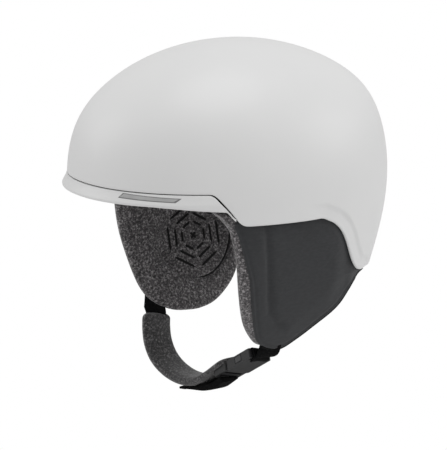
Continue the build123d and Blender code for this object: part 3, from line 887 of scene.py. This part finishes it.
def bar_fold():
    """The left web's turn round the end bar of the buckle's socket."""
    across = (Vector((0, 1, 0)) - BUCKLE_ALONG * BUCKLE_ALONG.y).normalized()
    up = BUCKLE_ALONG.cross(across) * math.cos(BUCKLE_ROLL) - across * math.sin(BUCKLE_ROLL)
    side = up.cross(BUCKLE_ALONG)
    points, ring = [], 40
    stations = [(-1, 0.55), (-1, 1), (-0.94, 1.06), (0.94, 1.06), (1, 1), (1, 0.55)]
    for width, size in stations:
        for k in range(ring):
            a = 2 * math.pi * k / ring
            run = BAR_AT + FOLD_RUN * size * signed_power(math.cos(a), 0.7)
            lift = FOLD_LIFT * size * signed_power(math.sin(a), 0.7)
            p = BUCKLE_AT + BUCKLE_ALONG * run + up * lift + side * (width * WEB_W / 2)
            points.append(tuple(p))
    faces = grid_faces(len(stations), ring, wrap_cols=True, wrap_rows=True)
    obj = outward(new_object("strap_bar_fold", points, faces, WEBBING, "webbing"))
    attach(obj, "chin_strap")


# ------------------------------------------------------------------ goggle retainer
TAB_LOW = -50.6
TAB_ROOT, TAB_TIP = 11.2, 7.9                  # half-widths of the tab
TAB_HALF_T, TAB_SWELL, TAB_BEAD = 1.15, 0.25, 0.35  # half-thickness, more at the root, bead at the sides
BARREL = [(-11.4, 1.62), (-11.4, 2.6), (-11.1, 2.9), (11.1, 2.9), (11.4, 2.6), (11.4, 1.62)]


def goggle_tab():
    """Tapered rubber tab with a round end, from its hinge barrel down to the snap."""
    rear_y = mm_box("goggle_clip")[1][1]
    hinge_z = mm_box("goggle_hinge_pin")[0][2] + 1.5
    rows, ring = 60, 32
    points = []
    for i in range(rows):
        z = hinge_z - 1 + (TAB_LOW - hinge_z + 1) * i / (rows - 1)
        t = (hinge_z - z) / (hinge_z - TAB_LOW)
        half = TAB_ROOT + (TAB_TIP - TAB_ROOT) * rise(t, 0, 1 / 1.15)
        to_end = (z - TAB_LOW) / TAB_TIP
        if to_end < 1:
            half *= math.sqrt(max(1 - (1 - to_end) ** 2, 0.004))
        middle = rear_y - 1.2 - 1.15 * rise(t, 0.1, 0.9)
        thick = TAB_HALF_T + TAB_SWELL * fall(t, 0, 0.5)
        for k in range(ring):
            a = 2 * math.pi * k / ring
            c, d = math.cos(a), math.sin(a)
            x = half * signed_power(c, 0.5)
            bead = TAB_BEAD * rise(abs(c), 0.80, 0.92) if d > 0 else 0
            points.append((x, middle + (thick + bead) * signed_power(d, 0.45), z))
    faces = grid_faces(rows, ring, wrap_cols=True)
    faces.append(tuple(range(ring)))
    faces.append(tuple((rows - 1) * ring + k for k in range(ring)))
    start = len(points)
    for x, r in BARREL:
        for k in range(ring):
            a = 2 * math.pi * k / ring
            points.append((x, rear_y - 2.8 + r * math.cos(a), hinge_z + r * math.sin(a)))
    faces += grid_faces(len(BARREL), ring, wrap_cols=True, wrap_rows=True, start=start)
    obj = outward(new_object("goggle_tab", points, faces, RUBBER, "retainer"))
    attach(obj, "goggle_clip")
    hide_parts("goggle_clip")


# ------------------------------------------------------------------ soft pads inside
def soft_copy(node_name, body):
    """Upholstered pad grown from its CAD solid: remeshed, relaxed and rounded."""
    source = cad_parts[node_name]
    obj = source.copy()
    obj.data = source.data.copy()
    obj.name = node_name + "_soft"
    obj.parent = None
    obj.matrix_world = source.matrix_world
    bpy.context.scene.collection.objects.link(obj)
    for key in list(obj.keys()):
        del obj[key]
    remesh = obj.modifiers.new("remesh", "REMESH")
    remesh.mode = "VOXEL"
    remesh.voxel_size = 1.6 * MM
    relax = obj.modifiers.new("relax", "SMOOTH")
    relax.factor, relax.iterations = 0.6, 9
    bpy.context.view_layer.update()
    evaluated = obj.evaluated_get(bpy.context.evaluated_depsgraph_get())
    shape = bpy.data.meshes.new_from_object(evaluated)
    obj.modifiers.clear()
    obj.data = shape
    shape.materials.clear()
    shape.materials.append(PAD_KNIT)
    shape.polygons.foreach_set("use_smooth", [True] * len(shape.polygons))
    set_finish(obj, "pad_fabric")
    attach(obj, body)
    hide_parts(node_name)


def inside_pads():
    """Comfort pads and the fit band's pads."""
    for name in ("brow_pad", "crown_pad", "temple_pad_left", "temple_pad_right",
                 "rear_pad_left", "rear_pad_right"):
        soft_copy(name, "helmet")
    soft_copy("band_pad_left", "band_left")
    soft_copy("band_pad_right", "band_right")


# ------------------------------------------------------------------ CAD pieces keep their shape
CAD_FINISH = {
    BUCKLE: ["buckle_female", "buckle_male", "ear_snap_front_left", "ear_snap_front_right",
             "ear_snap_rear_left", "ear_snap_rear_right"],
    GRIP: ["buckle_prong_front", "buckle_prong_rear"],
    NYLON: ["fit_band_left", "fit_band_right", "band_guide_left", "band_guide_right", "fit_cradle",
            "cradle_cover", "height_strut", "dial_pinion", "goggle_mount"],
    RUBBER: ["fit_dial", "goggle_snap_cap"],
    STEEL: ["goggle_hinge_pin", "strap_rivet_left", "strap_rivet_right", "goggle_snap_stud"],
}


def finish_cad():
    """Materials of the CAD pieces that show as they are."""
    for mat, names in CAD_FINISH.items():
        for name in names:
            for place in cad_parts[name].material_slots:
                place.link = "OBJECT"
                place.material = mat


# ------------------------------------------------------------------ stage
FLOOR_HALF, FLOOR_GAP = 6, 0.004               # metres
WORLD_LEVEL = 0.6                              # the world's light on the object; the camera sees white


def floor_and_world():
    """Pale floor and world that the camera sees as white."""
    mesh = bpy.data.meshes.new("floor")
    z = CAD_BOX[0].z - FLOOR_GAP
    corners = [(x * FLOOR_HALF, y * FLOOR_HALF, z) for x, y in ((-1, -1), (1, -1), (1, 1), (-1, 1))]
    mesh.from_pydata(corners, [], [(0, 1, 2, 3)])
    floor = bpy.data.objects.new("floor", mesh)
    bpy.context.scene.collection.objects.link(floor)
    mat, tree, shader = material("pale_floor", (0.8, 0.8, 0.8), 0.9, specular=0.1)
    out = tree.nodes["Material Output"]
    glow = node(tree, "ShaderNodeEmission", Color=(1, 1, 1, 1), Strength=1.0)
    path = node(tree, "ShaderNodeLightPath")
    mix = node(tree, "ShaderNodeMixShader")
    tree.links.new(path.outputs["Is Camera Ray"], mix.inputs["Fac"])
    tree.links.new(shader.outputs["BSDF"], mix.inputs[1])
    tree.links.new(glow.outputs["Emission"], mix.inputs[2])
    tree.links.new(mix.outputs["Shader"], out.inputs["Surface"])
    mesh.materials.append(mat)

    world = bpy.data.worlds.new("studio")
    bpy.context.scene.world = world
    world.use_nodes = True
    tree = world.node_tree
    back = tree.nodes["Background"]
    back.inputs["Color"].default_value = (1, 1, 1, 1)
    path = node(tree, "ShaderNodeLightPath")
    level = node(tree, "ShaderNodeMath", operation="MULTIPLY_ADD")
    tree.links.new(path.outputs["Is Camera Ray"], level.inputs[0])
    level.inputs[1].default_value = 1 - WORLD_LEVEL
    level.inputs[2].default_value = WORLD_LEVEL
    tree.links.new(level.outputs["Value"], back.inputs["Strength"])


def area_light(name, place, aim, size, power):
    """Round soft light, aimed at a point."""
    light = bpy.data.lights.new(name, "AREA")
    light.shape = "DISK"
    light.size = size
    light.energy = power
    obj = bpy.data.objects.new(name, light)
    bpy.context.scene.collection.objects.link(obj)
    obj.location = place
    obj.rotation_euler = (Vector(aim) - Vector(place)).to_track_quat("-Z", "Y").to_euler()


def lights():
    area_light("front_left", (-1.5, -1.7, 1.0), (0, 0, 0), 1.6, 8)
    area_light("rear_right", (1.4, 2.0, 0.9), (0, 0, 0), 1.6, 12)
    area_light("top", (0.2, 0.1, 2.4), (0, 0, 0), 1.8, 19)
    area_light("fill", (1.7, -1.1, -0.1), (0, 0, -0.08), 1.2, 2)


def camera():
    """Camera at the photograph's angle."""
    azimuth, elevation, distance = math.radians(58), math.radians(11.3), 1.300
    level = math.cos(elevation)
    away = Vector((math.sin(azimuth) * level, -math.cos(azimuth) * level, math.sin(elevation)))
    data = bpy.data.cameras.new("camera")
    data.sensor_width = 36
    data.lens = 126.1
    data.shift_x = -0.0211
    data.shift_y = -0.1178
    obj = bpy.data.objects.new("camera", data)
    bpy.context.scene.collection.objects.link(obj)
    obj.location = away * distance
    obj.rotation_mode = "QUATERNION"
    obj.rotation_quaternion = (-away).to_track_quat("-Z", "Y")
    bpy.context.scene.camera = obj
    bpy.context.scene.view_settings.view_transform = "Standard"


camera()
floor_and_world()
lights()
outer_shell()
foam_liner()
front_brim()
brim_badge()
ear_pads()
chin_pad()
straps()
bar_fold()
goggle_tab()
inside_pads()
finish_cad()
